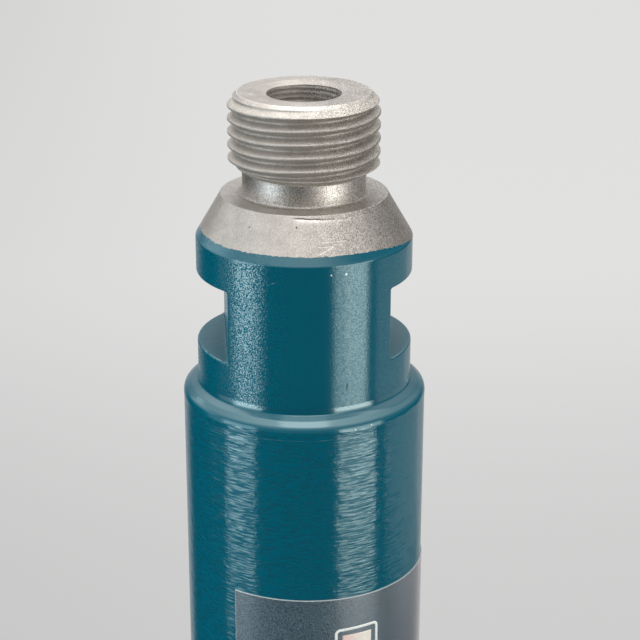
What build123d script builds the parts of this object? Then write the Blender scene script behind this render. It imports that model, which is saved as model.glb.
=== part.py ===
from build123d import *
import math
import os

# Diamond core bit for wet drilling: a steel tube with diamond segments on its lower rim
# and a turned connector welded into its upper end.
# Frame: the origin is on the axis in the plane of the segment tips, +Z runs up the bit to
# the threaded stub, and the two spanner flats face -X and +X. All sizes are in millimetres.

# --- driving dimensions: cutting end ----------------------------------------------------
cutting_diameter = 36.0        # outside of the segments, the size of the drilled hole
segment_thickness = 3.3        # radial
segment_height = 10.0
segment_count = 4
segment_gap = 3.6              # water slot between two segments, along the rim
segment_tip_chamfer = 0.4

# --- driving dimensions: tube -----------------------------------------------------------
tube_clearance = 0.9           # radial, between the tube and the hole that the bit drills
tube_wall = 2.0
usable_length = 300.0          # segment tips to the top of the connector's flange

# --- driving dimensions: label ----------------------------------------------------------
label_thickness = 0.15
label_drop = 24.3              # tube's upper end down to the label's upper edge
label_height = 85.0
label_start_angle = -128.4     # degrees about +Z from +X, the label's left-hand edge
label_arc = 150.0              # degrees round the tube

# --- driving dimensions: connector body -------------------------------------------------
flange_height = 2.7            # rim above the tube's end
flange_proud = 0.1             # the rim stands this much outside the tube
flange_rounding = 1.7
spigot_length = 8.0            # plug inside the tube
spigot_clearance = 0.05        # radial
spigot_lead_chamfer = 0.8
hub_step = 2.1                 # radial, from the tube's outside in to the hub
hub_root_fillet = 0.2
skirt_height = 6.0             # hub below the spanner slots
spanner_flats = 22.0           # width across the two flats
slot_height = 10.2
slot_corner_radius = 0.3
collar_height = 4.9            # hub above the spanner slots
cone_height = 6.0
shoulder_diameter = 23.0       # flat seat for the drill spindle

# --- driving dimensions: threaded stub, G 1/2 -------------------------------------------
thread_diameter = 20.8         # major diameter, near the low end of the G 1/2 tolerance
thread_pitch = 25.4 / 14       # 14 threads per inch
thread_depth = 1.162
thread_flank_angle = 27.5      # degrees, half of the 55 degree Whitworth form
thread_crest_flat = 0.3
thread_crest_height = 11.35    # above the seat, where a crest passes +X
thread_entry_angle = 37.0      # degrees about +Z from +X, where the cut starts
thread_overcut = 0.1           # how far outside the crest the cut starts
stub_length = 14.0             # seat to the top face
neck_diameter = 17.0
neck_length = 3.1
neck_root_fillet = 0.4
runout_height = 1.1            # taper from the neck up to the full thread
lead_chamfer = 1.3             # 45 degrees, at the top of the thread
bore_diameter = 10.2           # water passage
mouth_diameter = 13.6          # shallow dish round the passage in the top face
mouth_depth = 0.3

# --- derived radii ----------------------------------------------------------------------
segment_outer_radius = cutting_diameter / 2
segment_mid_radius = segment_outer_radius - segment_thickness / 2
tube_radius = segment_outer_radius - tube_clearance
tube_bore_radius = tube_radius - tube_wall
flange_radius = tube_radius + flange_proud
spigot_radius = tube_bore_radius - spigot_clearance
hub_radius = tube_radius - hub_step
shoulder_radius = shoulder_diameter / 2
thread_radius = thread_diameter / 2
neck_radius = neck_diameter / 2
bore_radius = bore_diameter / 2
mouth_radius = mouth_diameter / 2

# --- derived heights --------------------------------------------------------------------
flange_top_z = usable_length
tube_top_z = flange_top_z - flange_height
tube_bottom_z = segment_height
spigot_bottom_z = tube_top_z - spigot_length
slot_bottom_z = flange_top_z + skirt_height
slot_top_z = slot_bottom_z + slot_height
cone_bottom_z = slot_top_z + collar_height
seat_z = cone_bottom_z + cone_height
runout_bottom_z = seat_z + neck_length
thread_bottom_z = runout_bottom_z + runout_height
top_z = seat_z + stub_length
label_top_z = tube_top_z - label_drop

# --- derived thread groove: a trapezium, narrow at the root -----------------------------
flank_slope = math.tan(math.radians(thread_flank_angle))
groove_root_radius = thread_radius - thread_depth
groove_depth = thread_depth + thread_overcut
groove_mouth_half = (thread_pitch - thread_crest_flat) / 2 + thread_overcut * flank_slope
groove_root_half = groove_mouth_half - groove_depth * flank_slope
# The groove lies half a pitch from the crest. It starts in the undercut over the neck, on
# the lowest turn that stays clear of the seat, and ends in the air above the top face.
groove_phase_z = thread_crest_height + thread_pitch * (thread_entry_angle / 360 + 0.5)
groove_turns_dropped = math.floor((groove_phase_z - groove_mouth_half) / thread_pitch)
groove_start_z = seat_z + groove_phase_z - groove_turns_dropped * thread_pitch
groove_rise = top_z + groove_mouth_half - groove_start_z

# --- derived angles ---------------------------------------------------------------------
segment_pitch_angle = 360 / segment_count
segment_arc = segment_pitch_angle - math.degrees(segment_gap / segment_mid_radius)


def radial_plane(angle):
    """Plane through the axis at an angle in degrees: local x is radius, local y is height."""
    turn = math.radians(angle)
    outward = (math.cos(turn), math.sin(turn), 0)
    sideways = (math.sin(turn), -math.cos(turn), 0)
    return Plane(origin=(0, 0, 0), x_dir=outward, z_dir=sideways)


os.makedirs("parts", exist_ok=True)

# --- connector: one turned and milled piece ---------------------------------------------
with BuildPart() as connector:
    # Half section of the turned blank, bored through.
    with BuildSketch(Plane.XZ):
        with BuildLine():
            Polyline(
                (bore_radius, spigot_bottom_z),
                (spigot_radius - spigot_lead_chamfer, spigot_bottom_z),
                (spigot_radius, spigot_bottom_z + spigot_lead_chamfer),
                (spigot_radius, tube_top_z),
                (flange_radius, tube_top_z),
                (flange_radius, flange_top_z),
                (hub_radius, flange_top_z),
                (hub_radius, cone_bottom_z),
                (shoulder_radius, seat_z),
                (neck_radius, seat_z),
                (neck_radius, runout_bottom_z),
                (thread_radius, thread_bottom_z),
                (thread_radius, top_z - lead_chamfer),
                (thread_radius - lead_chamfer, top_z),
                (mouth_radius, top_z),
                (bore_radius, top_z - mouth_depth),
                close=True,
            )
        make_face()
        flange_corner = vertices().sort_by_distance((flange_radius, flange_top_z))[0]
        fillet(flange_corner, flange_rounding)
        hub_root = vertices().sort_by_distance((hub_radius, flange_top_z))[0]
        fillet(hub_root, hub_root_fillet)
        neck_root = vertices().sort_by_distance((neck_radius, seat_z))[0]
        fillet(neck_root, neck_root_fillet)
    revolve(axis=Axis.Z)

    # Spanner flats: a slot milled across each side of the hub.
    slot_mid_x = spanner_flats / 2 + hub_radius
    slot_mid_z = (slot_bottom_z + slot_top_z) / 2
    with BuildSketch(Plane.XZ):
        with Locations((-slot_mid_x, slot_mid_z), (slot_mid_x, slot_mid_z)):
            RectangleRounded(2 * hub_radius, slot_height, slot_corner_radius)
    extrude(amount=hub_radius, both=True, mode=Mode.SUBTRACT)

    # Thread: the groove swept up a right-handed helix.
    groove_helix = Helix(
        thread_pitch, groove_rise, groove_root_radius, center=(0, 0, groove_start_z)
    ).rotate(Axis.Z, thread_entry_angle)
    entry_outward = radial_plane(thread_entry_angle).x_dir
    with BuildSketch(Plane(origin=groove_helix @ 0, x_dir=entry_outward, z_dir=groove_helix % 0)):
        with BuildLine():
            Polyline(
                (0, -groove_root_half),
                (groove_depth, -groove_mouth_half),
                (groove_depth, groove_mouth_half),
                (0, groove_root_half),
                close=True,
            )
        make_face()
    sweep(path=groove_helix, is_frenet=True, mode=Mode.SUBTRACT)
connector.part.label = "connector"
export_step(connector.part, "parts/connector.step")

# --- tube -------------------------------------------------------------------------------
with BuildPart() as tube:
    with BuildSketch(Plane.XY.offset(tube_bottom_z)):
        Circle(tube_radius)
        Circle(tube_bore_radius, mode=Mode.SUBTRACT)
    extrude(amount=tube_top_z - tube_bottom_z)
tube.part.label = "tube"
export_step(tube.part, "parts/tube.step")

# --- label: thin vinyl wrapped part of the way round the tube ---------------------------
with BuildPart() as label:
    with BuildSketch(radial_plane(label_start_angle)):
        with Locations((tube_radius + label_thickness / 2, label_top_z - label_height / 2)):
            Rectangle(label_thickness, label_height)
    revolve(axis=Axis.Z, revolution_arc=label_arc)
label.part.label = "label"
export_step(label.part, "parts/label.step")

# --- segments: diamond blocks welded to the tube's lower rim ----------------------------
for index in range(segment_count):
    start_angle = index * segment_pitch_angle - segment_arc / 2
    with BuildPart() as segment:
        with BuildSketch(radial_plane(start_angle)):
            with Locations((segment_mid_radius, segment_height / 2)):
                Rectangle(segment_thickness, segment_height)
            chamfer(vertices().group_by(Axis.Y)[0], segment_tip_chamfer)
        revolve(axis=Axis.Z, revolution_arc=segment_arc)
    segment.part.label = f"segment_{index + 1}"
    export_step(segment.part, f"parts/segment_{index + 1}.step")
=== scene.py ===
import math

import bpy
import numpy as np
from mathutils import Matrix, Vector, noise


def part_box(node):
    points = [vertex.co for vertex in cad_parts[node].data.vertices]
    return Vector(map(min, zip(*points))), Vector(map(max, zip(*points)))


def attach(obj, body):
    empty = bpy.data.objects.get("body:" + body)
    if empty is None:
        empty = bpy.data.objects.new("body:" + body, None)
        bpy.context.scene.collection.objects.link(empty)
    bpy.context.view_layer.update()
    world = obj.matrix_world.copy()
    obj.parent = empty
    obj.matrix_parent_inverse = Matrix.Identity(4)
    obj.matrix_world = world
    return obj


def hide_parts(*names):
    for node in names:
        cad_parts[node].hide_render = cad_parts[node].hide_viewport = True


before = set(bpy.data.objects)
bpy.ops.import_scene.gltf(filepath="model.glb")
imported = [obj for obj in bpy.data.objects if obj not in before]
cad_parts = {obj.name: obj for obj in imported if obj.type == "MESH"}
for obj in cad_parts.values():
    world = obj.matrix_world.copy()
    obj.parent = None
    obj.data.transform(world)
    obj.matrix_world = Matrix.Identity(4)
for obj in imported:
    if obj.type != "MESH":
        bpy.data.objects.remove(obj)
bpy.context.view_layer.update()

# A diamond core bit that stands on its segments, with its axis on Z and the floor at 0.
# It is worked out in millimetres and radians, and its meshes are written in metres.
# The camera and the studio round it are in metres.
MM = 0.001


def levels(node):
    """Lowest and highest level of a node of the frame, in millimetres."""
    return [round(corner[2] / MM, 2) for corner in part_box(node)]


# --- levels ------------------------------------------------------------------------------
SPIGOT_BOTTOM, TOP = levels("connector")
TUBE_BOTTOM, TUBE_TOP = levels("tube")
LABEL_BOTTOM, LABEL_TOP = levels("label")
FLANGE_HEIGHT, SKIRT_HEIGHT, SLOT_HEIGHT, COLLAR_HEIGHT = 2.7, 6.0, 10.2, 4.9
STUB_LENGTH, NECK_LENGTH, RUNOUT_HEIGHT = 14.0, 3.1, 1.1
FLANGE_TOP = TUBE_TOP + FLANGE_HEIGHT
SLOT_BOTTOM = FLANGE_TOP + SKIRT_HEIGHT
SLOT_TOP = SLOT_BOTTOM + SLOT_HEIGHT
CONE_BOTTOM = SLOT_TOP + COLLAR_HEIGHT
SEAT = TOP - STUB_LENGTH
RUNOUT_BOTTOM = SEAT + NECK_LENGTH
RUNOUT_TOP = RUNOUT_BOTTOM + RUNOUT_HEIGHT

# --- radii, and other sizes that the CAD has too -----------------------------------------
BORE, MOUTH, NECK, CREST, SHOULDER = 5.1, 6.8, 8.5, 10.4, 11.5
HUB, SPIGOT, TUBE_BORE, TUBE, FLANGE = 15.0, 15.05, 15.1, 17.1, 17.2
HALF_FLATS = 11.0
LEAD_CHAMFER, SPIGOT_CHAMFER, MOUTH_DEPTH = 1.3, 0.8, 0.3
PITCH, THREAD_DEPTH, CREST_FLAT, CREST_HEIGHT = 25.4 / 14, 1.162, 0.3, 11.35
FLANK_ANGLE = math.radians(27.5)
LABEL_START, LABEL_ARC, LABEL_THICKNESS = math.radians(-128.4), math.radians(150), 0.15
SEGMENT_COUNT, SEGMENT_ARC = 4, math.radians(77.38)
SEGMENT_IN, SEGMENT_OUT, SEGMENT_CHAMFER = 14.7, 18.0, 0.4

# --- derived sizes -----------------------------------------------------------------------
CONE_SLOPE = (HUB - SHOULDER) / (SEAT - CONE_BOTTOM)
FLANK_RUN = THREAD_DEPTH * math.tan(FLANK_ANGLE)
CHAMFER_EDGE = CREST - LEAD_CHAMFER     # radius of the edge between the chamfer and the top face
PRINTED = TUBE + LABEL_THICKNESS        # radius of the label's outside


# --- meshes ------------------------------------------------------------------------------
HOLD = 0.025      # rows this close to the ends of a stretch keep its smooth shading straight
ARC_STEPS = 5     # steps round a rounded corner


def round_the_axis(radius, angle, height):
    """Points in metres from radii, angles and heights."""
    points = np.stack([radius * np.cos(angle), radius * np.sin(angle), height], axis=-1)
    return points.reshape(-1, 3) * MM


def piece_from_faces(name, points, faces, material):
    """A smooth piece that rides on the one body."""
    mesh = bpy.data.meshes.new(name)
    mesh.from_pydata(points.tolist(), [], faces.tolist())
    mesh.polygons.foreach_set("use_smooth", np.ones(len(faces), dtype=bool))
    mesh.materials.append(material)
    piece = bpy.data.objects.new(name, mesh)
    bpy.context.scene.collection.objects.link(piece)
    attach(piece, "root")
    return piece


def piece_from_grid(name, radius, angle, height, material):
    """A closed piece from a grid whose rows and columns both run round in a ring."""
    rows, columns = radius.shape
    index = np.arange(rows * columns).reshape(rows, columns)
    below, beside = np.roll(index, -1, axis=0), np.roll(index, -1, axis=1)
    across = np.roll(below, -1, axis=1)
    faces = np.stack([index, below, across, beside], axis=-1).reshape(-1, 4)
    return piece_from_faces(name, round_the_axis(radius, angle, height), faces, material)


def block_grid(*steps):
    """Points on the surface of a unit block cut at the given shares of each side, and its faces."""
    corners, faces = [], []
    for axis in range(3):
        first, second = (axis + 1) % 3, (axis + 2) % 3
        a, b = np.meshgrid(steps[first], steps[second], indexing="ij")
        for side in (0.0, 1.0):
            sheet = np.zeros(a.shape + (3,))
            sheet[..., axis], sheet[..., first], sheet[..., second] = side, a, b
            index = np.arange(a.size).reshape(a.shape) + sum(len(part) for part in corners)
            loop = [index[:-1, :-1], index[1:, :-1], index[1:, 1:], index[:-1, 1:]]
            faces.append(np.stack(loop if side else loop[::-1], axis=-1).reshape(-1, 4))
            corners.append(sheet.reshape(-1, 3))
    points, joined = np.unique(np.round(np.concatenate(corners), 7), axis=0, return_inverse=True)
    return points, joined.reshape(-1)[np.concatenate(faces)]


def section(corners):
    """Points along corners, each (radius, height, rounding, steps to the next corner)."""
    places = np.array([corner[:2] for corner in corners], dtype=float)
    points, start = [places[0]], places[0]
    for number in range(1, len(corners)):
        steps, rounding = corners[number - 1][3], corners[number][2]
        corner = places[number]
        arc = [corner]
        if rounding:
            arc = arc_points(places[number - 1], corner, places[number + 1], rounding)
        points.extend(stretch_points(start, arc[0], steps))
        points.extend(arc[1:])
        start = arc[-1]
    return np.array(points)


def stretch_points(start, end, steps):
    """Points after start up to end; a long stretch gets a row close to each of its ends."""
    length = np.linalg.norm(end - start)
    shares = np.arange(1, steps + 1) / steps
    if length / steps > 5 * HOLD:
        shares = np.sort(np.concatenate([shares, [HOLD / length, 1 - HOLD / length]]))
    return [start + (end - start) * share for share in shares]


def arc_points(before, corner, after, rounding):
    """Points of the arc that rounds corner, from the side of before to the side of after."""
    back = (before - corner) / np.linalg.norm(before - corner)
    ahead = (after - corner) / np.linalg.norm(after - corner)
    half = math.acos(np.clip(back @ ahead, -1, 1)) / 2
    middle = (back + ahead) / np.linalg.norm(back + ahead)
    centre = corner + middle * rounding / math.sin(half)
    reach = rounding / math.tan(half)
    first = corner + back * reach - centre
    last = corner + ahead * reach - centre
    sweep = math.pi - 2 * half
    shares = np.linspace(0, 1, ARC_STEPS + 1)[:, None]
    spokes = first * np.sin((1 - shares) * sweep) + last * np.sin(shares * sweep)
    return centre + spokes / math.sin(sweep)


def soft_max(a, b, softness):
    """The larger of two values, with a smooth change from one to the other."""
    return (a + b + np.sqrt((a - b) ** 2 + softness**2)) / 2


def soft_min(a, b, softness):
    """The smaller of two values, with a smooth change from one to the other."""
    return (a + b - np.sqrt((a - b) ** 2 + softness**2)) / 2


# --- connector ---------------------------------------------------------------------------
EDGE = 0.25           # rounding of the painted edges
SLOT_CORNER = 0.3     # rounding at the foot of the spanner flats
SLOT_DRAFT = 0.04     # the slot's floor and roof rise by this much, which keeps the rows apart
SLOT_SOFTNESS = 0.09  # rounding of the slots' ends, where the flats run out
COLUMNS = 264         # round the axis
EDGE_CROWDING, EDGE_REACH = 4, math.radians(1.4)     # extra density of columns at the slots' ends
RUNOUT_BITE = 0.35    # how much higher the undercut reaches on the -X side
RINGED_DEPTH = 5.0    # the turning rings reach this far down the bore
RING_PITCH, RING_HEIGHT = 0.68, 0.16
NICK_MIDDLE, NICK_HALF = -81, 18                       # degrees round the axis
NICK_DROP, NICK_FALL, NICK_DEPTH = 0.33, 0.17, 0.2     # below the seat, along half its length, inward


def upper_section():
    """The bore, the top face, the thread's outside, the neck, the seat, the cone and the collar."""
    return section([
        (BORE, SPIGOT_BOTTOM, 0, 2),
        (BORE, TOP - RINGED_DEPTH, 0, 30),
        (BORE, TOP - MOUTH_DEPTH, 0.05, 2),
        (MOUTH, TOP, 0.3, 3),
        (CHAMFER_EDGE, TOP, 0.06, 16),
        (CREST, TOP - LEAD_CHAMFER, 0.1, 112),
        (CREST, RUNOUT_TOP, 0.15, 14),
        (NECK, RUNOUT_BOTTOM, 0.2, 3),
        (NECK, SEAT, 0.4, 4),
        (SHOULDER, SEAT, 0.12, 14),
        (SHOULDER + 1.2 * CONE_SLOPE, SEAT - 1.2, 0, 3),
        (HUB, CONE_BOTTOM, 0.5, 3),
        (HUB, SLOT_TOP + EDGE, 0, 1),
    ])


def lower_section():
    """The skirt, its slightly tapered foot, the flange, its rim and the spigot inside the tube."""
    return section([
        (HUB, SLOT_BOTTOM - EDGE, 0, 6),
        (HUB, FLANGE_TOP + 1.05, 0.5, 2),
        (HUB + 0.12, FLANGE_TOP + 0.17, 0.12, 2),
        (HUB + 1.1, FLANGE_TOP - 0.32, 1.5, 1),
        (TUBE - 0.04, FLANGE_TOP - 1.1, 1.1, 1),
        (TUBE + 0.04, TUBE_TOP + 0.9, 0.8, 1),
        (TUBE, TUBE_TOP + HOLD, 0, 1),
        (TUBE, TUBE_TOP, 0, 2),
        (SPIGOT, TUBE_TOP, 0.05, 2),
        (SPIGOT, SPIGOT_BOTTOM + SPIGOT_CHAMFER, 0, 1),
        (SPIGOT - SPIGOT_CHAMFER, SPIGOT_BOTTOM, 0, 2),
    ])


def slot_rows():
    """Rows down a slot, each (kind, amount, height).

    The amount of a "mouth" row is its inset from the hub's outside, that of an "across" row is
    its share of the roof or floor, and that of a "flat" row is its distance from the flat.
    """
    turns = np.radians([22, 45, 68, 90])
    foot = SLOT_TOP - SLOT_DRAFT
    rows = [("mouth", EDGE * (1 - math.cos(a)), SLOT_TOP + EDGE * (1 - math.sin(a))) for a in turns]
    rows += [("across", share, SLOT_TOP - SLOT_DRAFT * share) for share in (0.2, 0.4, 0.6, 0.8, 1.0)]
    for a in turns:
        rows.append(("flat", SLOT_CORNER * (1 - math.sin(a)), foot - SLOT_CORNER * (1 - math.cos(a))))
    middle = (SLOT_TOP + SLOT_BOTTOM) / 2
    half = middle - SLOT_BOTTOM - SLOT_DRAFT - SLOT_CORNER
    rows += [("flat", 0.0, middle + half * share) for share in (0.75, 0.5, 0.25)]
    mirrored = [(kind, amount, 2 * middle - height) for kind, amount, height in rows[::-1]]
    return rows + [("flat", 0.0, middle)] + mirrored


def slot_depth(angle):
    """How far the spanner flats lie inside the hub, along each radius."""
    flat = HALF_FLATS / np.maximum(np.abs(np.cos(angle)), 0.3)
    return soft_max(HUB - flat, 0, SLOT_SOFTNESS)


def slot_grid(angle):
    """Radius and height of the slot's rows in every column."""
    depth = slot_depth(angle)
    least = EDGE + SLOT_CORNER
    full, shrink = np.maximum(depth, least), np.minimum(1, depth / least)
    radius, height = [], []
    for kind, amount, level in slot_rows():
        if kind == "mouth":
            inset = amount
        elif kind == "across":
            inset = EDGE + (full - least) * amount
        else:
            inset = full - amount
        radius.append(HUB - inset * shrink)
        height.append(np.full_like(angle, level))
    return np.array(radius), np.array(height)


def thread_radius(angle, height):
    """Radius of the right-handed thread, with slightly rounded crests and roots."""
    turns = (height - SEAT - CREST_HEIGHT) / PITCH - angle / (2 * math.pi)
    from_crest = np.abs(turns - np.round(turns)) * PITCH
    share = soft_max((from_crest - CREST_FLAT / 2) / FLANK_RUN, 0, 0.1)
    shallow = np.clip((height - TOP + LEAD_CHAMFER + 0.2) / 1.0, 0, 1)
    return CREST + 0.02 - (THREAD_DEPTH - 0.3 * shallow) * soft_min(share, 1, 0.12)


def runout_radius(angle, height):
    """The undercut's sloping wall, which bites higher into the last turn on the -X side."""
    level = RUNOUT_BOTTOM + RUNOUT_BITE * np.clip(-np.cos(angle), 0, 1)
    slope = (CREST - NECK) / RUNOUT_HEIGHT
    return NECK + slope * soft_max(height - level, 0, 0.05)


def column_angles():
    """Angles of the columns, closer together at the slots' upright edges."""
    fine = np.linspace(-math.pi, math.pi, 7201)
    edge = math.acos(HALF_FLATS / HUB)
    weight = np.ones_like(fine)
    for centre in (edge, -edge, math.pi - edge, edge - math.pi):
        weight += EDGE_CROWDING * np.exp(-(((fine - centre) / EDGE_REACH) ** 2))
    total = np.concatenate([[0], np.cumsum((weight[1:] + weight[:-1]) / 2)])
    return np.interp(np.linspace(0, total[-1], COLUMNS + 1)[:-1], total, fine)


def bore_rings(radius, angle, height):
    """Coarse turning rings in the mouth of the bore."""
    depth = TOP - MOUTH_DEPTH - height
    turns = depth / RING_PITCH + angle / (2 * math.pi)
    wave = (np.abs((turns % 1) - 0.35) - 0.3) * (1 + 0.5 * np.sin(2.3 * depth + angle))
    fade = np.clip(depth / 0.3, 0, 1) * np.clip((RINGED_DEPTH - depth) / 0.5, 0, 1)
    return radius - RING_HEIGHT * wave * fade * (radius < BORE + 0.01)


def nick(radius, angle, height):
    """The long nick under the cone's upper edge: a sharp upper lip, then a slope back out."""
    along = (np.degrees(angle) - NICK_MIDDLE) / NICK_HALF
    below = SEAT - NICK_DROP - NICK_FALL * (along + 1) - height
    strength = np.clip(1.15 - np.abs(along), 0, 0.35) / 0.35
    return radius - NICK_DEPTH * strength * np.where(below > 0, np.exp(-below / 0.2), 0)


def make_connector(material):
    """The turned and milled piece in one grid, whose rows run up the bore and down the outside."""
    angle = column_angles()
    upper, lower = upper_section(), lower_section()
    slot_radius, slot_height = slot_grid(angle)
    ones = np.ones_like(angle)
    radius = np.concatenate([upper[:, :1] * ones, slot_radius, lower[:, :1] * ones])
    height = np.concatenate([upper[:, 1:] * ones, slot_height, lower[:, 1:] * ones])
    turn = np.broadcast_to(angle, radius.shape)
    outside = radius > MOUTH + 0.5
    threaded = outside & (height > RUNOUT_BOTTOM)
    cut = soft_min(runout_radius(turn, height), thread_radius(turn, height), 0.06)
    radius = np.where(threaded, np.minimum(cut, radius), radius)
    radius = bore_rings(radius, turn, height)
    radius = np.where(height > CONE_BOTTOM, nick(radius, turn, height), radius)
    piece = piece_from_grid("connector_body", radius, turn, height, material)
    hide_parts("connector")


# --- tube --------------------------------------------------------------------------------
TUBE_COLUMNS = 256


def make_tube(material):
    """The tube, with its lower edges slightly broken."""
    outline = section([
        (TUBE, TUBE_TOP, 0, 90),
        (TUBE, TUBE_BOTTOM, 0.1, 2),
        (TUBE_BORE, TUBE_BOTTOM, 0.1, 30),
        (TUBE_BORE, TUBE_TOP, 0, 1),
    ])
    angle = np.linspace(0, 2 * math.pi, TUBE_COLUMNS + 1)[:-1]
    shape = (len(outline), TUBE_COLUMNS)
    radius = np.broadcast_to(outline[:, :1], shape)
    height = np.broadcast_to(outline[:, 1:], shape)
    piece = piece_from_grid("tube_body", radius, np.broadcast_to(angle, shape), height, material)
    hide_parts("tube")


# --- label and its print -----------------------------------------------------------------
LABEL_SKEW = 0.3                       # fall of its upper edge in mm a radian: it was stuck on crooked
LABEL_LIFT, LIFT_ANGLE = 0.1, math.radians(-92)     # how far the upper edge is above LABEL_TOP there
LIP, LIP_LOWERED = 0.04, 0.7     # width of the label's softened edge, and its share of the thickness
LABEL_STEPS = (90, 70)           # around and up the label
ICON_LEFT, ICON_RIGHT = math.radians(-79.8), math.radians(-57.2)
ICON_SIDE, ICON_MIDDLE = (ICON_RIGHT - ICON_LEFT) * PRINTED, (ICON_LEFT + ICON_RIGHT) / 2
ICON_DROP, ICON_LINE, ICON_ROUNDING = 4.75, 0.42, 0.85
TILE_INSET = 1.15
ICON_COLUMNS, TILE_STEPS = 128, 16
PRINT_THICKNESS, PRINT_SUNK = 0.02, 0.01


def label_top(angle):
    """Height of the label's upper edge."""
    return LABEL_TOP + LABEL_LIFT - LABEL_SKEW * (angle - LIFT_ANGLE)


def with_lips(steps, side):
    """Shares of a side in equal steps, with two more close to either end that keep the lip narrow."""
    lip = LIP / side
    return np.sort(np.concatenate([np.linspace(0, 1, steps + 1), [lip, 2 * lip, 1 - 2 * lip, 1 - lip]]))


def make_label(material):
    """Thin vinyl with a softened edge."""
    around = with_lips(LABEL_STEPS[0], LABEL_ARC * TUBE)
    upright = with_lips(LABEL_STEPS[1], LABEL_TOP - LABEL_BOTTOM)
    points, faces = block_grid(np.array([0.0, 1.0]), around, upright)
    angle = LABEL_START + LABEL_ARC * points[:, 1]
    height = LABEL_BOTTOM + (label_top(angle) - LABEL_BOTTOM) * points[:, 2]
    on_edge = (np.abs(points[:, 1] - 0.5) > 0.4999) | (np.abs(points[:, 2] - 0.5) > 0.4999)
    radius = TUBE + LABEL_THICKNESS * points[:, 0] * np.where(on_edge, LIP_LOWERED, 1.0)
    piece = piece_from_faces("label_body", round_the_axis(radius, angle, height), faces, material)
    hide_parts("label")


def make_icon_frame(material):
    """A plain printed frame: a rounded square that follows the label."""
    turn = np.linspace(0, 2 * math.pi, ICON_COLUMNS + 1)[:-1]
    straight = ICON_SIDE / 2 - ICON_ROUNDING
    across = np.clip(1.6 * np.cos(turn) * ICON_SIDE, -straight, straight)
    upright = np.clip(1.6 * np.sin(turn) * ICON_SIDE, -straight, straight)
    middle_height = label_top(ICON_MIDDLE) - ICON_DROP - ICON_SIDE / 2
    radius, angle, height = [], [], []
    for inset, lift in ((0, 0), (0, 1), (ICON_LINE, 1), (ICON_LINE, 0)):
        rounding = ICON_ROUNDING - inset
        radius.append(np.full(ICON_COLUMNS, PRINTED - PRINT_SUNK + PRINT_THICKNESS * lift))
        angle.append(ICON_MIDDLE + (across + rounding * np.cos(turn)) / PRINTED)
        height.append(middle_height + upright + rounding * np.sin(turn))
    grid = np.array(radius), np.array(angle), np.array(height)
    piece = piece_from_grid("label_icon_frame", *grid, material)


def make_icon_tile(material):
    """A plain printed tile inside the frame."""
    steps = np.linspace(0, 1, TILE_STEPS + 1)
    points, faces = block_grid(np.array([0.0, 1.0]), steps, steps)
    side = ICON_SIDE - 2 * TILE_INSET
    angle = ICON_LEFT + (TILE_INSET + side * points[:, 1]) / PRINTED
    height = label_top(angle) - ICON_DROP - TILE_INSET - side * (1 - points[:, 2])
    radius = PRINTED - PRINT_SUNK + PRINT_THICKNESS * points[:, 0]
    piece = piece_from_faces("label_icon_tile", round_the_axis(radius, angle, height), faces, material)


# --- segments ----------------------------------------------------------------------------
SEGMENT_STEPS = (12, 84, 38)     # through, along and up a segment
GRIT_SCALE, GRIT_HEIGHT, GRIT_SINK, GRIT_SHIFT = 2.2, 0.1, 0.05, 31
SMOOTH_TOP = 0.5                 # the grit fades out over this much next to the tube


def make_segments(material):
    """Diamond segments: rounded blocks with a gritty face."""
    middle = (SEGMENT_IN + SEGMENT_OUT) / 2
    size = np.array([SEGMENT_OUT - SEGMENT_IN, SEGMENT_ARC * middle, TUBE_BOTTOM])
    points, faces = block_grid(*[np.linspace(0, 1, steps + 1) for steps in SEGMENT_STEPS])
    place = (points - 0.5) * size
    core = np.clip(place, -size / 2 + SEGMENT_CHAMFER, size / 2 - SEGMENT_CHAMFER)
    outward = (place - core) / np.linalg.norm(place - core, axis=1)[:, None]
    rough = np.clip((TUBE_BOTTOM / 2 - place[:, 2]) / SMOOTH_TOP, 0, 1)
    for number in range(SEGMENT_COUNT):
        shift = GRIT_SHIFT * number
        grit = np.array([noise.noise(Vector(point * GRIT_SCALE + shift)) for point in place])
        rounding = SEGMENT_CHAMFER - GRIT_SINK + GRIT_HEIGHT * grit * rough
        radial, arc, height = (core + outward * rounding[:, None]).T
        angle = arc / middle + number * 2 * math.pi / SEGMENT_COUNT
        spots = round_the_axis(middle + radial, angle, height + TUBE_BOTTOM / 2)
        piece = piece_from_faces(f"segment_{number + 1}_body", spots, faces, material)
        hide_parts(f"segment_{number + 1}")


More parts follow.
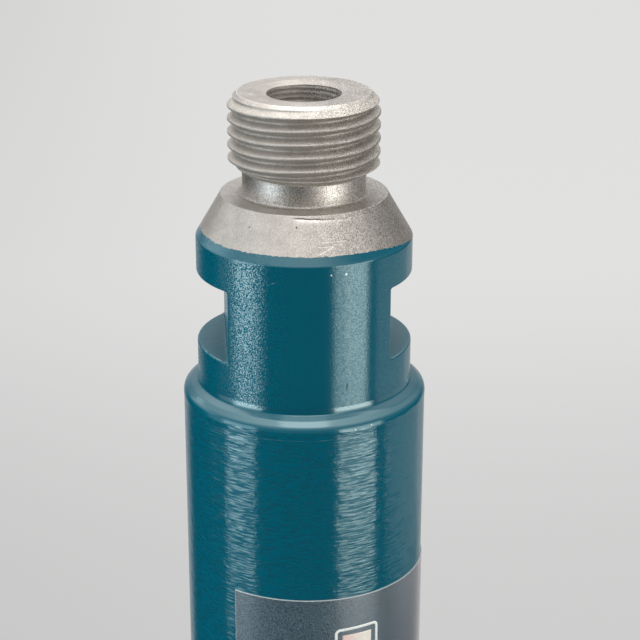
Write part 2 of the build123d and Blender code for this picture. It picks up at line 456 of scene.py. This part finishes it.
# --- materials ---------------------------------------------------------------------------
class Nodes:
    """Short ways to add nodes to a material or a world, with the shader that it starts with."""

    def __init__(self, owner):
        owner.use_nodes = True
        self.owner = owner
        self.tree = owner.node_tree
        self.shader = self.tree.nodes.get("Principled BSDF") or self.tree.nodes["Background"]

    def plug(self, socket, value):
        if isinstance(value, bpy.types.NodeSocket):
            self.tree.links.new(value, socket)
        elif value is not None:
            socket.default_value = value

    def add(self, kind, *values, **settings):
        node = self.tree.nodes.new("ShaderNode" + kind)
        for setting, value in settings.items():
            setattr(node, setting, value)
        for socket, value in zip(node.inputs, values):
            self.plug(socket, value)
        return node

    def math(self, operation, *values):
        return self.add("Math", *values, operation=operation).outputs[0]

    def plus(self, first, second):
        return self.math("ADD", first, second)

    def minus(self, first, second):
        return self.math("SUBTRACT", first, second)

    def times(self, first, second):
        return self.math("MULTIPLY", first, second)

    def line(self, value, slope, start):
        """value times slope, plus start."""
        return self.math("MULTIPLY_ADD", value, slope, start)

    def largest(self, *values):
        total = values[0]
        for value in values[1:]:
            total = self.math("MAXIMUM", total, value)
        return total

    def ramp(self, value, low, high, out_low=0.0, out_high=1.0):
        """value from low to high, mapped smoothly to out_low and out_high."""
        ends = low, high, out_low, out_high
        return self.add("MapRange", value, *ends, interpolation_type="SMOOTHSTEP").outputs[0]

    def near(self, value, level, inner, outer, most=1.0):
        """most where value is within inner of level, falling to 0 at outer from it."""
        return self.ramp(self.math("ABSOLUTE", self.minus(value, level)), inner, outer, most, 0.0)

    def noise(self, vector, scale, detail=2.0, roughness=0.5):
        node = self.add("TexNoise", vector)
        self.plug(node.inputs["Scale"], scale)
        self.plug(node.inputs["Detail"], detail)
        self.plug(node.inputs["Roughness"], roughness)
        return node.outputs[0]

    def blend(self, share, first, second):
        """A colour between first and second."""
        node = self.add("Mix", data_type="RGBA")
        self.plug(node.inputs["Factor"], share)
        self.plug(node.inputs[6], first)
        self.plug(node.inputs[7], second)
        return node.outputs[2]

    def mix(self, share, first, second):
        """A number between first and second."""
        return self.add("Mix", share, None, first, second, data_type="FLOAT").outputs[0]

    def stretch(self, vector, factor):
        """A vector or a colour times a number."""
        node = self.add("VectorMath", vector, operation="SCALE")
        self.plug(node.inputs["Scale"], factor)
        return node.outputs[0]

    def bump(self, height, distance=MM):
        node = self.add("Bump")
        self.plug(node.inputs["Height"], height)
        self.plug(node.inputs["Distance"], distance)
        return node.outputs[0]

    def finish(self, **values):
        """Sets or links the shader's sockets, and returns the material or world."""
        for socket, value in values.items():
            self.plug(self.shader.inputs[socket.replace("_", " ")], value)
        return self.owner


class Turned(Nodes):
    """A material on a turned piece, with the piece's own coordinates in millimetres.

    They are place, height, radius and angle, the unit vector outward and its cosine from +X.
    """

    def __init__(self, name):
        super().__init__(bpy.data.materials.new(name))
        self.place = self.stretch(self.add("TexCoord").outputs["Object"], 1 / MM)
        x, y, self.height = self.add("SeparateXYZ", self.place).outputs
        flat = self.add("CombineXYZ", x, y, 0.0).outputs[0]
        self.radius = self.add("VectorMath", flat, operation="LENGTH").outputs["Value"]
        self.outward = self.add("VectorMath", flat, operation="NORMALIZE").outputs[0]
        self.cosine = self.add("SeparateXYZ", self.outward).outputs[0]
        self.angle = self.math("ARCTAN2", y, x)

    def lines(self, around, along, detail=2.0):
        """Noise drawn out round the axis: around and along are cycles a radian and a millimetre."""
        level = self.times(self.plus(self.height, self.radius), along)
        wide = self.stretch(self.outward, around)
        tall = self.add("CombineXYZ", 0.0, 0.0, level).outputs[0]
        vector = self.add("VectorMath", wide, tall, operation="ADD").outputs[0]
        return self.noise(vector, 1.0, detail, 0.6)

    def mark(self, start, end, width):
        """1 along a line between two places, each (degrees round the axis, height).

        Lengths round the axis are measured at the hub's radius.
        """
        run = math.radians(end[0] - start[0]) * HUB, end[1] - start[1]
        length = math.hypot(*run)
        right, up = run[0] / length, run[1] / length
        arc = self.times(self.minus(self.angle, math.radians(start[0])), HUB)
        rise = self.minus(self.height, start[1])
        along = self.line(arc, right, self.times(rise, up))
        aside = self.line(arc, -up, self.times(rise, right))
        past = self.largest(self.minus(along, length), self.times(along, -1.0))
        away = self.largest(self.math("ABSOLUTE", aside), past)
        return self.ramp(away, width / 4, width * 0.75, 1.0, 0.0)

    def spot(self, degrees, radius, height, reach):
        """1 close to a point."""
        turn = math.radians(degrees)
        centre = (radius * math.cos(turn), radius * math.sin(turn), height)
        away = self.add("VectorMath", self.place, centre, operation="DISTANCE").outputs["Value"]
        return self.ramp(away, reach * 0.6, reach, 1.0, 0.0)

    def marks(self, lines):
        """All of several marks together."""
        return self.largest(*[self.mark(*line) for line in lines])

    def spots(self, points):
        """All of several spots together."""
        return self.largest(*[self.spot(*point) for point in points])


# --- enamel and steel --------------------------------------------------------------------
PAINT = (0.0, 0.079, 0.119, 1)
ENAMEL_ROUGHNESS, ENAMEL_IOR, ENAMEL_TINT = 0.14, 1.64, (0.80, 1.0, 0.98, 1)
STEEL_DARK, STEEL_PALE, STEEL_TINT = (0.60, 0.56, 0.51, 1), (0.69, 0.65, 0.60, 1), (1, 1, 1, 1)
SCRATCH_COLOUR = (0.88, 0.85, 0.80, 1)
DARK_COLOUR, PALE_COLOUR = (0.10, 0.09, 0.08, 1), (0.70, 0.74, 0.75, 1)
PAINT_LINE, PAINT_FALL = CONE_BOTTOM + 1.2, 1.3             # the paint's end, and its fall on the +X side
PEEL_BOTTOM, PEEL_TOP = FLANGE_TOP + 0.3, FLANGE_TOP + 1.3  # the hub's grain comes in between these
RIM_BOTTOM, RIM_TOP = TUBE_TOP + 0.9, TUBE_TOP + 1.4        # the rim's streaks go out between these

# Scratches: (degrees, height) of each end, and the width.
SCRATCHES = [
    ((-86.4, 322.55), (-78.1, 323.36), 0.13),
    ((-84.5, 324.01), (-69.4, 323.91), 0.11),
    ((-86.0, 323.48), (-77.6, 323.42), 0.11),
    ((-78.0, 323.65), (-72.0, 323.62), 0.10),
    ((-113.0, 318.5), (-109.0, 318.9), 0.16),
]
HUB_NICK = [((-71.4, 304.2), (-71.6, 303.5), 0.18)]

# Dark specks on the steel, and pale specks on the enamel and on the top face: degrees, radius, height and
# reach.
DARK_SPOTS = [(-98.6, 12.29, 325.75, 0.16), (-128.9, 12.61, 325.2, 0.12)]
PALE_SPOTS = [
    (-72.3, HUB, 319.87, 0.20),
    (-80.2, HUB, 319.91, 0.14),
    (-61.9, FLANGE, 298.6, 0.18),
    (-70.2, FLANGE, 298.4, 0.15),
    (-168.0, 7.4, TOP, 0.30),
]


def connector_finish():
    """Bare turned steel above a ragged line on the cone, glossy teal enamel below it."""
    nodes = Turned("connector_finish")
    painted = paint_cover(nodes)
    bare = nodes.minus(1.0, painted)
    scratches = nodes.marks(SCRATCHES)
    relief = nodes.mix(painted, steel_relief(nodes), enamel_relief(nodes))
    relief = nodes.line(scratches, -0.03, relief)
    relief = nodes.line(nodes.marks(HUB_NICK), -0.25, relief)
    colour = nodes.blend(painted, steel_colour(nodes), PAINT)
    colour = nodes.blend(nodes.times(scratches, nodes.times(bare, 0.35)), colour, SCRATCH_COLOUR)
    colour = nodes.blend(nodes.spots(DARK_SPOTS), colour, DARK_COLOUR)
    colour = nodes.blend(nodes.spots(PALE_SPOTS), colour, PALE_COLOUR)
    return nodes.finish(
        Base_Color=colour,
        Metallic=bare,
        Roughness=nodes.mix(painted, steel_roughness(nodes), enamel_roughness(nodes)),
        IOR=ENAMEL_IOR,
        Specular_Tint=nodes.blend(painted, STEEL_TINT, ENAMEL_TINT),
        Normal=nodes.bump(relief),
        Specular_IOR_Level=enamel_gloss(nodes),
    )


def paint_cover(nodes):
    """1 where the connector is painted: outside, up to a ragged line on the cone."""
    side = nodes.math("POWER", nodes.largest(nodes.cosine, 0.0), 4.0)
    line = nodes.line(side, -PAINT_FALL, PAINT_LINE)
    ragged = nodes.line(nodes.noise(nodes.place, 1.6, 4.0, 0.65), 0.5, -0.25)
    below = nodes.minus(nodes.plus(line, ragged), nodes.height)
    outside = nodes.ramp(nodes.radius, BORE + 0.9, BORE + 1.4)
    return nodes.times(nodes.ramp(below, -0.03, 0.03), outside)


def steel_colour(nodes):
    """Cloudy grey steel with a fine grain, in places brighter or duller through painted highlight and
    shade.
    """
    cloud = nodes.ramp(nodes.noise(nodes.place, 0.5, 3.0, 0.6), 0.3, 0.7)
    steel = nodes.blend(cloud, STEEL_DARK, STEEL_PALE)
    # The grain is real, but its change with the side is painted light: towards +X it has brighter
    # sparkles, darker flecks and a darker mean.
    least = nodes.ramp(nodes.cosine, -0.3, 0.5, 0.8, 0.4)
    least = nodes.mix(neck_zone(nodes), least, 0.42)
    most = nodes.ramp(nodes.cosine, -0.5, 0.3, 1.06, 1.16)
    grain = nodes.ramp(nodes.noise(nodes.place, 6.0, 2.0, 0.8), 0.35, 0.65, least, most)
    # the second factor is painted highlight and shade
    return nodes.stretch(steel, nodes.times(grain, painted_light_on_steel(nodes)))


def painted_light_on_steel(nodes):
    """Painted light on the steel: painted highlight on the neck and on the chamfer with its edge, painted
    shade on the seat and the top face.
    """
    # painted highlight on the neck, stronger towards +X
    painted_lighting = nodes.mix(neck_zone(nodes), 1.0, nodes.ramp(nodes.cosine, -0.5, 0.0, 1.25, 1.4))
    above = nodes.ramp(nodes.height, SEAT - 0.1, SEAT - 0.05)
    seat = nodes.times(above, nodes.ramp(nodes.height, SEAT + 0.05, SEAT + 0.4, 1.0, 0.0))
    # painted shade on the seat
    painted_lighting = nodes.mix(seat, painted_lighting, 0.82)
    top = nodes.ramp(nodes.height, TOP - 0.4, TOP - 0.1)
    # painted shade on the top face, deepest towards -X
    painted_lighting = nodes.mix(top, painted_lighting, nodes.ramp(nodes.cosine, -0.9, 0.0, 0.88, 1.0))
    outer = nodes.ramp(nodes.radius, CHAMFER_EDGE - 0.2, CHAMFER_EDGE)
    chamfer = nodes.times(nodes.ramp(nodes.height, TOP - 1.4, TOP - 1.2), outer)
    # painted highlight on the chamfer, stronger towards +X
    painted_lighting = nodes.mix(chamfer, painted_lighting, nodes.ramp(nodes.cosine, 0.0, 0.6, 1.1, 1.3))
    edge = nodes.near(nodes.radius, CHAMFER_EDGE, 0.04, 0.12)
    # painted highlight along the edge between the chamfer and the top face
    return nodes.mix(nodes.times(edge, nodes.ramp(nodes.height, TOP - 0.2, TOP - 0.1)), painted_lighting, 1.3)


def neck_zone(nodes):
    """1 on the neck between the seat and the thread."""
    low = nodes.ramp(nodes.height, RUNOUT_BOTTOM, RUNOUT_BOTTOM + 0.4, 1.0, 0.0)
    return nodes.times(low, nodes.ramp(nodes.radius, NECK + 0.5, NECK + 0.9, 1.0, 0.0))


def steel_roughness(nodes):
    """Rougher in the thread than on the turned faces."""
    above_neck = nodes.ramp(nodes.height, RUNOUT_BOTTOM, RUNOUT_BOTTOM + 0.3)
    threaded = nodes.times(above_neck, nodes.ramp(nodes.height, TOP - 0.5, TOP - 0.3, 1.0, 0.0))
    cloud = nodes.ramp(nodes.noise(nodes.place, 1.3, 3.0, 0.6), 0.3, 0.7, 0.40, 0.48)
    return nodes.line(threaded, 0.2, cloud)


def steel_relief(nodes):
    """Fine pits and the faint grooves that the turning tool left, in millimetres."""
    grooves = nodes.times(nodes.lines(2.0, 5.0), 0.015)
    return nodes.line(nodes.noise(nodes.place, 4.5, 3.0, 0.7), 0.018, grooves)


def enamel_relief(nodes):
    """Slight orange peel on the hub; the flange's rim has the tube's streaks. In millimetres."""
    amount = nodes.ramp(nodes.cosine, -0.45, -0.3, 0.03, 0.012)
    amount = nodes.times(amount, nodes.ramp(nodes.height, PEEL_BOTTOM, PEEL_TOP, 0.1, 1.0))
    peel = nodes.times(nodes.noise(nodes.place, 5.2, 1.0, 0.6), amount)
    return nodes.mix(above_rim(nodes), streak_relief(nodes), peel)


def enamel_gloss(nodes):
    """Specular level of the enamel: grainy on the hub, streaky on the rim, dull in some places."""
    grain = nodes.ramp(nodes.noise(nodes.place, 4.9, 1.0, 0.8), 0.37, 0.63, -1.25, 1.25)
    on_hub = nodes.ramp(nodes.height, PEEL_BOTTOM, PEEL_TOP)
    on_hub = nodes.times(on_hub, nodes.ramp(nodes.height, CONE_BOTTOM - 0.5, CONE_BOTTOM + 0.1, 1.0, 0.2))
    side = nodes.ramp(nodes.cosine, -0.42, -0.15, 1.0, 0.3)
    side = nodes.times(side, nodes.line(ledge_zone(nodes), -0.8, 1.0))
    gloss = nodes.line(nodes.times(grain, side), on_hub, 1.0)
    gloss = nodes.times(gloss, nodes.minus(1.0, enamel_dullness(nodes)))
    gloss = nodes.plus(gloss, nodes.near(nodes.height, FLANGE_TOP + 0.75, 0.15, 0.35, 0.9))
    return nodes.mix(above_rim(nodes), streak_gloss(nodes), gloss)


def enamel_dullness(nodes):
    """How dull the enamel is on the cone's +X side, on the slots' ledges and on the flange."""
    on_cone = nodes.ramp(nodes.height, CONE_BOTTOM - 0.2, CONE_BOTTOM + 0.4)
    cone = nodes.times(on_cone, nodes.ramp(nodes.cosine, 0.0, 0.5, 0.0, 0.8))
    ledge = nodes.times(ledge_zone(nodes), 0.4)
    return nodes.largest(cone, ledge, flange_dullness(nodes))


def flange_dullness(nodes):
    """How dull the flange is: by the hub, except in front and behind, and on a ring round its rim."""
    edge = nodes.ramp(nodes.cosine, 0.35, 0.75, HUB + 0.25, HUB + 1.25)
    inner = nodes.ramp(nodes.minus(nodes.radius, edge), -0.1, 0.1, 0.6, 0.0)
    inner = nodes.times(inner, nodes.ramp(nodes.height, FLANGE_TOP + 0.3, FLANGE_TOP + 0.45, 1.0, 0.0))
    inner = nodes.times(inner, nodes.ramp(nodes.math("ABSOLUTE", nodes.cosine), 0.15, 0.35))
    return nodes.largest(inner, nodes.near(nodes.height, FLANGE_TOP - 1.15, 0.1, 0.4, 0.5))


def enamel_roughness(nodes):
    """Glossy, but matt on the slots' ledges."""
    return nodes.line(ledge_zone(nodes), 0.36, ENAMEL_ROUGHNESS)


def ledge_zone(nodes):
    """1 on the floors of the spanner slots."""
    level = nodes.near(nodes.height, SLOT_BOTTOM, 0.06, 0.12)
    return nodes.times(level, nodes.ramp(nodes.radius, HUB - 0.3, HUB - 0.15, 1.0, 0.0))


def above_rim(nodes):
    """0 on the lower part of the flange's rim, 1 above it."""
    return nodes.ramp(nodes.height, RIM_BOTTOM, RIM_TOP)


def streak_relief(nodes):
    """Fine turning lines under the tube's enamel, in millimetres."""
    deep = nodes.ramp(nodes.noise(nodes.place, 0.7, 2.0), 0.3, 0.7, 0.02, 0.05)
    lines = nodes.times(nodes.lines(6.0, 3.5, 1.0), deep)
    return nodes.line(nodes.noise(nodes.place, 3.6, 1.0), 0.008, lines)


def streak_gloss(nodes):
    """Specular level that follows the turning lines, even on the +X side."""
    contrast = nodes.ramp(nodes.cosine, -0.2, 0.3, 0.85, 0.55)
    streaks = nodes.ramp(nodes.lines(9.0, 4.6, 1.0), 0.36, 0.64, -1.0, 1.0)
    streaks = nodes.line(streaks, contrast, 1.0)
    return nodes.mix(nodes.ramp(nodes.cosine, 0.60, 0.70), streaks, 1.0)


def tube_finish():
    """Teal enamel that shows the tube's fine turning lines."""
    nodes = Turned("tube_finish")
    return nodes.finish(
        Base_Color=PAINT,
        Roughness=ENAMEL_ROUGHNESS,
        IOR=ENAMEL_IOR,
        Specular_Tint=ENAMEL_TINT,
        Normal=nodes.bump(streak_relief(nodes)),
        Specular_IOR_Level=streak_gloss(nodes),
    )


# --- vinyl, ink and sintered metal -------------------------------------------------------
VINYL_DARK, VINYL_PALE = (0.014, 0.040, 0.062, 1), (0.086, 0.136, 0.166, 1)
CUT_COLOUR = (0.30, 0.35, 0.36, 1)
CUT_WIDTH, CUT_ANGLE = 0.08, 0.004     # the cut edge's width at the top in mm, at the left in radians
WHITE_INK, PINK_INK, CREAM_INK = (0.75, 0.76, 0.74, 1), (0.74, 0.52, 0.47, 1), (0.72, 0.68, 0.60, 1)
MATRIX_DARK, MATRIX_PALE = (0.16, 0.14, 0.12, 1), (0.34, 0.29, 0.23, 1)
GRIT_COLOUR = (0.62, 0.60, 0.42, 1)


def label_finish():
    """Dark grey satin vinyl with a fine weave and a pale cut edge."""
    nodes = Turned("label_finish")
    half = nodes.ramp(nodes.cosine, 0.15, 0.5, 0.5, 0.15)
    least, most = nodes.minus(0.5, half), nodes.plus(0.5, half)
    weave = nodes.ramp(nodes.noise(nodes.place, 6.5, 1.0, 0.8), 0.40, 0.60, least, most)
    top = nodes.line(nodes.angle, -LABEL_SKEW, label_top(0.0))
    cut_top = nodes.ramp(nodes.minus(nodes.height, top), -CUT_WIDTH - 0.05, -CUT_WIDTH)
    cut_left = nodes.ramp(nodes.angle, LABEL_START + CUT_ANGLE, LABEL_START + 2 * CUT_ANGLE, 1.0, 0.0)
    vinyl = nodes.blend(weave, VINYL_DARK, VINYL_PALE)
    return nodes.finish(
        Base_Color=nodes.blend(nodes.largest(cut_top, cut_left), vinyl, CUT_COLOUR),
        Roughness=0.27,
        Normal=nodes.bump(nodes.times(weave, 0.006)),
        IOR=1.85,
        Specular_IOR_Level=nodes.ramp(nodes.cosine, 0.45, 0.75, 1.0, 2.2),
        Sheen_Weight=0.5,
        Sheen_Roughness=0.35,
        Sheen_Tint=(1.0, 0.82, 0.80, 1),
    )


def print_finish(name, left, right):
    """Printing ink that changes from left to right, with a little unevenness."""
    nodes = Turned(name)
    colour = nodes.blend(nodes.ramp(nodes.angle, ICON_MIDDLE - 0.12, ICON_MIDDLE + 0.06), left, right)
    worn = nodes.ramp(nodes.noise(nodes.place, 3.0, 3.0), 0.2, 0.8, 0.85, 1.0)
    return nodes.finish(Base_Color=nodes.stretch(colour, worn), Roughness=0.4)


def segment_finish():
    """Sintered metal with pale diamond grit."""
    nodes = Turned("segment_finish")
    cells = nodes.add("TexVoronoi", nodes.place)
    nodes.plug(cells.inputs["Scale"], 2.2)
    grit = nodes.ramp(cells.outputs["Distance"], 0.12, 0.3, 1.0, 0.0)
    mottle = nodes.noise(nodes.place, 1.5, 4.0, 0.65)
    relief = nodes.plus(grit, nodes.noise(nodes.place, 6.0, 4.0, 0.7))
    return nodes.finish(
        Base_Color=nodes.blend(grit, nodes.blend(mottle, MATRIX_DARK, MATRIX_PALE), GRIT_COLOUR),
        Metallic=nodes.line(grit, -0.8, 0.8),
        Roughness=nodes.ramp(mottle, 0.3, 0.7, 0.45, 0.65),
        Normal=nodes.bump(relief, 0.12 * MM),
    )


# --- camera ------------------------------------------------------------------------------
CAMERA_TURN = math.radians(-3.954)     # the camera stands this far round the axis from -Y
CAMERA_DISTANCE, CAMERA_HEIGHT = 0.23448, 0.39612
CAMERA_DIP, CAMERA_YAW, CAMERA_ROLL = math.radians(20.544), math.radians(0.5068), math.radians(-0.0742)
CAMERA_LENS = 100.122


def make_camera():
    """Looks down on the connector from a little above it."""
    data = bpy.data.cameras.new("camera")
    data.lens = CAMERA_LENS
    data.clip_start, data.clip_end = 0.01, 50
    camera = bpy.data.objects.new("camera", data)
    turn = Matrix.Rotation(CAMERA_TURN, 4, "Z")
    aim = Matrix.Rotation(math.pi / 2 - CAMERA_DIP, 4, "X") @ Matrix.Rotation(-CAMERA_YAW, 4, "Y")
    place = Matrix.Translation((0, -CAMERA_DISTANCE, CAMERA_HEIGHT))
    camera.matrix_world = turn @ place @ aim @ Matrix.Rotation(CAMERA_ROLL, 4, "Z")
    bpy.context.scene.collection.objects.link(camera)
    bpy.context.scene.camera = camera


# --- studio: floor, lamps and world ------------------------------------------------------
FLOOR_HALF = 30.0
FLOOR_GLOW = (1.0, 0.997, 0.99, 1)
FLOOR_NEAR, FLOOR_FAR = 0.575, 0.79     # the floor's glow near the object and far behind it
FLOOR_LEFT_DROP = -0.16                 # and how much less it is on the left
GLOW_SHARE = 0.75                       # of what the camera sees of the floor; the rest is its lit surface
STUDIO_EDGE = 0.69                      # the pale part starts at this cosine from straight behind
STUDIO_DIM, STUDIO_PALE = 0.004, 0.5    # levels that the object mirrors
WALL, CEILING = 0.12, 2.1               # levels that the object mirrors sideways and straight up
AMBIENT, BACKDROP = 0.15, 0.70          # the least level that lights the object, and the camera's level

# Softboxes that face the axis: name, degrees round from the camera's side, distance, height,
# (width, height), radiance and colour.
SOFTBOXES = [
    ("left_softbox", -61, 0.45, 0.34, (0.27, 0.28), 2.2, (0.88, 0.98, 1.06)),
    ("left_lower", -62.5, 0.45, 0.11, (0.25, 0.17), 1.0, (0.82, 0.98, 1.08)),
    ("left_core", -66, 0.44, 0.17, (0.16, 0.09), 1.0, (0.90, 0.98, 1.06)),
    ("left_tail", -88, 0.45, 0.31, (0.17, 0.38), 0.28, (0.85, 0.98, 1.04)),
    ("left_back_softbox", -113, 0.50, 0.495, (0.36, 0.21), 0.75, (0.95, 1.0, 1.03)),
    ("right_softbox", 52, 0.45, 0.33, (0.35, 0.26), 2.4, (1.0, 0.99, 0.97)),
    ("right_lower", 50.5, 0.45, 0.11, (0.31, 0.18), 1.36, (0.97, 1.0, 0.99)),
    ("right_core", 56, 0.44, 0.155, (0.20, 0.09), 0.8, (0.97, 1.0, 0.99)),
    ("right_fill", 114, 0.45, 0.11, (0.58, 0.18), 0.36, (0.95, 0.97, 1.0)),
]
HIGH_AIM = 0.3     # height that the top softbox and the two glows point at


def make_floor():
    """A wide flat floor."""
    mesh = bpy.data.meshes.new("floor")
    corners = [(-FLOOR_HALF, -FLOOR_HALF, 0), (FLOOR_HALF, -FLOOR_HALF, 0)]
    corners += [(FLOOR_HALF, FLOOR_HALF, 0), (-FLOOR_HALF, FLOOR_HALF, 0)]
    mesh.from_pydata(corners, [], [(0, 1, 2, 3)])
    floor = bpy.data.objects.new("floor", mesh)
    bpy.context.scene.collection.objects.link(floor)
    mesh.materials.append(floor_finish())


def floor_finish():
    """A pale floor: the camera sees its glow and, under that, the lit floor with the object's shadow."""
    nodes = Nodes(bpy.data.materials.new("floor_finish"))
    material = nodes.finish(Base_Color=(0.5, 0.5, 0.5, 1), Roughness=0.9, Specular_IOR_Level=0.1)
    place = nodes.add("TexCoord").outputs["Object"]
    path = nodes.add("LightPath").outputs
    across, away, _ = nodes.add("SeparateXYZ", place).outputs
    depth = nodes.ramp(away, 0.36, 0.95, FLOOR_NEAR, FLOOR_FAR)
    glow = nodes.plus(depth, nodes.ramp(across, -0.45, 0.12, FLOOR_LEFT_DROP, 0.0))
    pale = nodes.add("Emission", FLOOR_GLOW, glow).outputs[0]
    mirrored = nodes.add("Emission", studio_level(nodes, place), 1.0).outputs[0]
    share = nodes.times(path["Is Camera Ray"], GLOW_SHARE)
    seen = nodes.add("MixShader", share, nodes.shader.outputs[0], pale).outputs[0]
    seen = nodes.add("MixShader", path["Is Glossy Ray"], seen, mirrored).outputs[0]
    nodes.plug(nodes.tree.nodes["Material Output"].inputs["Surface"], seen)
    return material


def studio_level(nodes, direction):
    """How bright the studio is in a direction from the axis: pale behind the object, dim elsewhere."""
    turned = nodes.add("VectorRotate", direction, rotation_type="Z_AXIS")
    nodes.plug(turned.inputs["Angle"], -CAMERA_TURN)
    ahead = nodes.add("VectorMath", turned.outputs[0], operation="NORMALIZE").outputs[0]
    behind = nodes.add("SeparateXYZ", ahead).outputs[1]
    return nodes.ramp(behind, STUDIO_EDGE, 0.96, STUDIO_DIM, STUDIO_PALE)


def lamp(name, azimuth, distance, height, size, radiance, colour, aim_height=None):
    """A rectangular softbox, azimuth degrees round from the camera's side, facing the axis."""
    data = bpy.data.lights.new(name, "AREA")
    data.shape, data.size, data.size_y = "RECTANGLE", size[0], size[1]
    data.energy = radiance * math.pi * size[0] * size[1]
    data.color = colour
    turn = math.radians(azimuth) + CAMERA_TURN
    tip = 0.0 if aim_height is None else math.atan2(height - aim_height, distance)
    light = bpy.data.objects.new(name, data)
    place = Matrix.Rotation(turn, 4, "Z") @ Matrix.Translation((0, -distance, height))
    light.matrix_world = place @ Matrix.Rotation(math.pi / 2 - tip, 4, "X")
    light.visible_camera = False
    bpy.context.scene.collection.objects.link(light)
    return light


def make_lamps():
    """The softboxes that the object mirrors, one above it and two glows that it doesn't mirror."""
    for softbox in SOFTBOXES:
        lamp(*softbox)
    lamp("top_softbox", 0, 0.25, 1.3, (0.50, 0.50), 1.5, (1.0, 1.0, 1.0), HIGH_AIM)
    for name, azimuth, radiance in (("left_glow", -85, 2.6), ("right_glow", 95, 0.9)):
        glow = lamp(name, azimuth, 0.8, 0.45, (0.6, 0.6), radiance, (0.9, 1.0, 1.0), HIGH_AIM)
        glow.visible_glossy = False


def make_world():
    """Pale towards the camera; in reflections brighter upwards and behind the object."""
    nodes = Nodes(bpy.data.worlds.new("studio"))
    path = nodes.add("LightPath").outputs
    direction = nodes.add("TexCoord").outputs["Generated"]
    _, back, up = nodes.add("SeparateXYZ", direction).outputs
    upward = nodes.largest(up, 0.0)
    ceiling = nodes.line(nodes.math("POWER", upward, 2.0), CEILING - WALL, WALL)
    ceiling = nodes.times(ceiling, nodes.ramp(back, 0.3, 0.7, 1.0, 1.5))
    lift = nodes.ramp(upward, 0.1, 0.55, 1.0, 2.4)
    mirrored = nodes.largest(nodes.times(studio_level(nodes, direction), lift), ceiling)
    seen = nodes.mix(path["Is Glossy Ray"], nodes.largest(AMBIENT, ceiling), mirrored)
    bpy.context.scene.world = nodes.finish(Color=nodes.mix(path["Is Camera Ray"], seen, BACKDROP))


make_connector(connector_finish())
make_tube(tube_finish())
make_label(label_finish())
make_icon_frame(print_finish("white_print", WHITE_INK, WHITE_INK))
make_icon_tile(print_finish("cream_print", PINK_INK, CREAM_INK))
make_segments(segment_finish())
make_floor()
make_lamps()
make_world()
make_camera()
bpy.context.scene.view_settings.view_transform = "Standard"
